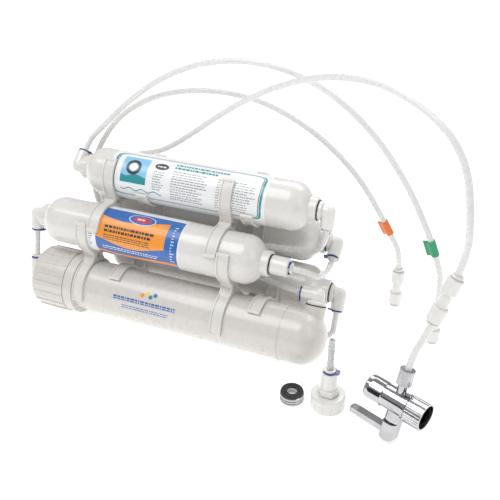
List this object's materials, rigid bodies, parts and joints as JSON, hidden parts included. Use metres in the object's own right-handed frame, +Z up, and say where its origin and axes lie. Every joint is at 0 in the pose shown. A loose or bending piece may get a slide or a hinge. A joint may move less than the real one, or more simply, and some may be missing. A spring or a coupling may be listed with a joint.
{
  "type": "reverse osmosis unit",
  "caption": "Compact countertop water purifier: clipped inline filters over a screw-cap membrane housing, with push-fit tubes, a tap diverter valve and loose tap adapters.",
  "frame": {"origin": "middle of the footprint of the housings and the loose adapters, on the surface they stand on", "axes": "+X along the housings, from the screw cap end to the domed end; +Z up; the front of the unit faces -Y"},
  "size_m": [0.4859, 0.2334, 0.2992],
  "materials": {
    "white_plastic": "glossy injection-moulded ivory white",
    "fitting_plastic": "satin white push-fit plastic",
    "clip_plastic": "satin white",
    "seal_rubber": "matt black",
    "blue_plastic": "glossy dark blue",
    "tube_plastic": "milky translucent white",
    "chrome": "bright plated",
    "steel_mesh": "woven mesh",
    "filter_media": "pressed granular block",
    "membrane_wrap": "tape-wrapped membrane leaves",
    "printed_label": "printed gloss film",
    "green_tag": "printed vinyl",
    "orange_tag": "printed vinyl"
  },
  "bodies": {
    "unit": {"diverter_body": "chrome", "diverter_end_cap": "chrome", "diverter_screen": "steel_mesh", "diverter_washer": "seal_rubber", "drain_tag": "orange_tag", "drain_tube": "tube_plastic", "drain_union": "fitting_plastic", "feed_tail_tube": "tube_plastic", "feed_tube": "tube_plastic", "feed_union": "fitting_plastic", "filter_media_blocks": "filter_media", "front_filter_cap": "white_plastic", "front_filter_connector": "fitting_plastic", "front_filter_label": "printed_label", "front_filter_shell": "white_plastic", "front_pair_clips": "clip_plastic", "left_end_elbows": "fitting_plastic", "link_tube_brine": "tube_plastic", "link_tube_front_to_membrane": "tube_plastic", "link_tube_permeate": "tube_plastic", "link_tube_rear_to_front": "tube_plastic", "locking_clips": "blue_plastic", "membrane_brine_seal": "seal_rubber", "membrane_cap_oring": "seal_rubber", "membrane_element": "membrane_wrap", "membrane_housing": "white_plastic", "port_collets": "fitting_plastic", "port_seals": "seal_rubber", "product_tag": "green_tag", "product_tube": "tube_plastic", "product_union": "fitting_plastic", "rear_feet": "clip_plastic", "rear_lower_clips": "clip_plastic", "rear_lower_filter_cap": "white_plastic", "rear_lower_filter_shell": "white_plastic", "rear_upper_clips": "clip_plastic", "rear_upper_filter_cap": "white_plastic", "rear_upper_filter_shell": "white_plastic", "right_end_elbows": "fitting_plastic", "union_collets": "fitting_plastic", "upper_filter_cap": "white_plastic", "upper_filter_label": "printed_label", "upper_filter_shell": "white_plastic", "upper_pair_clips": "clip_plastic"},
    "membrane_cap": {"membrane_cap": "white_plastic"},
    "diverter_lever": {"diverter_lever": "chrome", "diverter_ball_stem": "chrome", "diverter_lever_screw": "chrome"},
    "swivel_nut": {"diverter_swivel_nut": "chrome"},
    "outlet_nut": {"diverter_outlet_nut": "chrome"},
    "hose_adapter": {"adapter_stem": "fitting_plastic", "adapter_washer": "seal_rubber", "adapter_collet": "fitting_plastic", "adapter_locking_clip": "blue_plastic", "adapter_stub_tube": "tube_plastic"},
    "hose_adapter_nut": {"adapter_nut": "fitting_plastic"},
    "tap_adapter": {"tap_adapter_ring": "chrome", "tap_adapter_washer": "seal_rubber"},
    "product_collet": {"product_release_collet": "fitting_plastic"},
    "drain_collet": {"drain_release_collet": "fitting_plastic"}
  },
  "joints": [
    {"name": "membrane_cap_turn", "type": "hinge", "parent": "unit", "child": "membrane_cap", "pos_m": [-0.1753, -0.0277, 0.0355], "axis": [-1, 0, 0], "range_deg": [0, 360]},
    {"name": "diverter_lever_turn", "type": "hinge", "parent": "unit", "child": "diverter_lever", "pos_m": [0.25035, -0.08843, 0.03894], "axis": [0.0973, 0.2398, 0.9659], "range_deg": [0, 90]},
    {"name": "swivel_nut_spin", "type": "hinge", "parent": "unit", "child": "swivel_nut", "pos_m": [0.26203, -0.09316, 0.03894], "axis": [0.9267, -0.3759, 0], "continuous": true},
    {"name": "outlet_nut_turn", "type": "hinge", "parent": "unit", "child": "outlet_nut", "pos_m": [0.2522, -0.08387, 0.05729], "axis": [0.0973, 0.2398, 0.9659], "range_deg": [0, 360]},
    {"name": "hose_adapter_lift", "type": "slide", "parent": "unit", "child": "hose_adapter", "axis": [0, 0, 1], "range_m": [0, 0.12]},
    {"name": "hose_adapter_nut_spin", "type": "hinge", "parent": "hose_adapter", "child": "hose_adapter_nut", "pos_m": [0.1817, -0.0757, 0], "axis": [0, 0, 1], "continuous": true},
    {"name": "tap_adapter_lift", "type": "slide", "parent": "unit", "child": "tap_adapter", "axis": [0, 0, 1], "range_m": [0, 0.12]},
    {"name": "product_collet_press", "type": "slide", "parent": "unit", "child": "product_collet", "axis": [0, 0, 1], "range_m": [0, 0.0012], "stiffness_N_per_m": 400},
    {"name": "drain_collet_press", "type": "slide", "parent": "unit", "child": "drain_collet", "axis": [0, 0, 1], "range_m": [0, 0.0012], "stiffness_N_per_m": 400}
  ]
}
